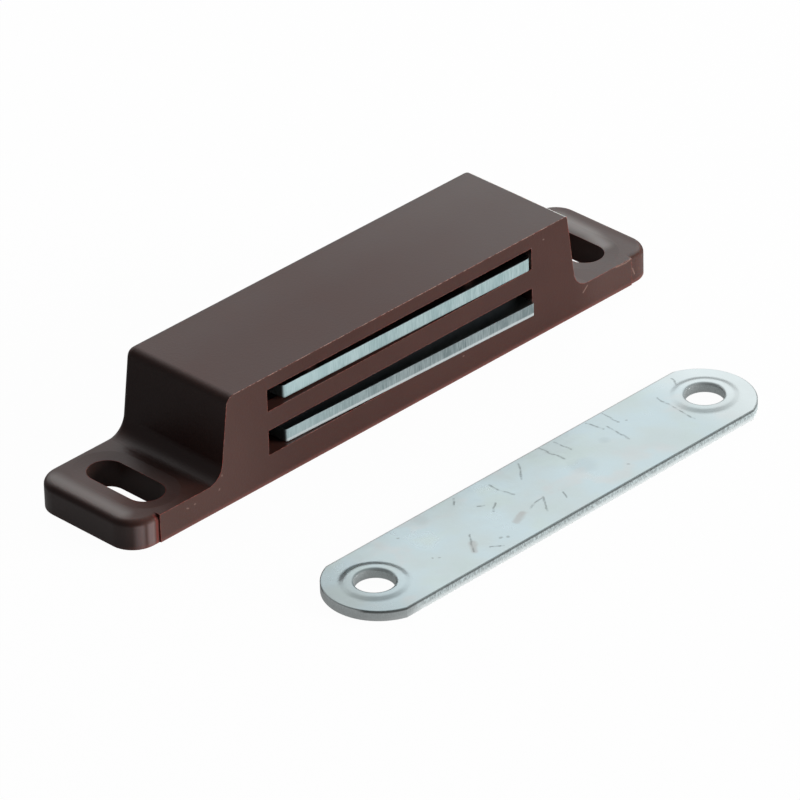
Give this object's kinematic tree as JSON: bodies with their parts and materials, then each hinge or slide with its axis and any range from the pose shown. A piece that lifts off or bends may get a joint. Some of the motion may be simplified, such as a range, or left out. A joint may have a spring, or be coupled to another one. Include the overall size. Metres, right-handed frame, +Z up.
{
  "type": "magnetic door catch",
  "caption": "Surface-mounted magnetic door catch: a moulded housing with a floating magnet pack behind two long windows, and a flat steel strike plate.",
  "frame": {"origin": "the middle of the housing's flat base, on the surface that it is screwed to", "axes": "+X along the housing from its left lug to its right lug as seen from the front, +Y from the windowed front face to the open back, +Z up from the base"},
  "size_m": [0.08, 0.0445, 0.0131],
  "materials": {
    "brown_plastic": "satin",
    "zinc_plated_steel": "brushed",
    "ferrite": "matte",
    "zinc_plated_strip": "satin"
  },
  "bodies": {
    "housing": {"housing": "brown_plastic", "strike_plate": "zinc_plated_strip"},
    "magnet_pack": {"magnet": "ferrite", "upper_pole_plate": "zinc_plated_steel", "lower_pole_plate": "zinc_plated_steel"}
  },
  "joints": [
    {"name": "pack_rock", "type": "hinge", "parent": "housing", "child": "magnet_pack", "pos_m": [0.0013, -0.006, 0.007], "axis": [0, 0, 1], "range_deg": [0, 3.2]}
  ]
}
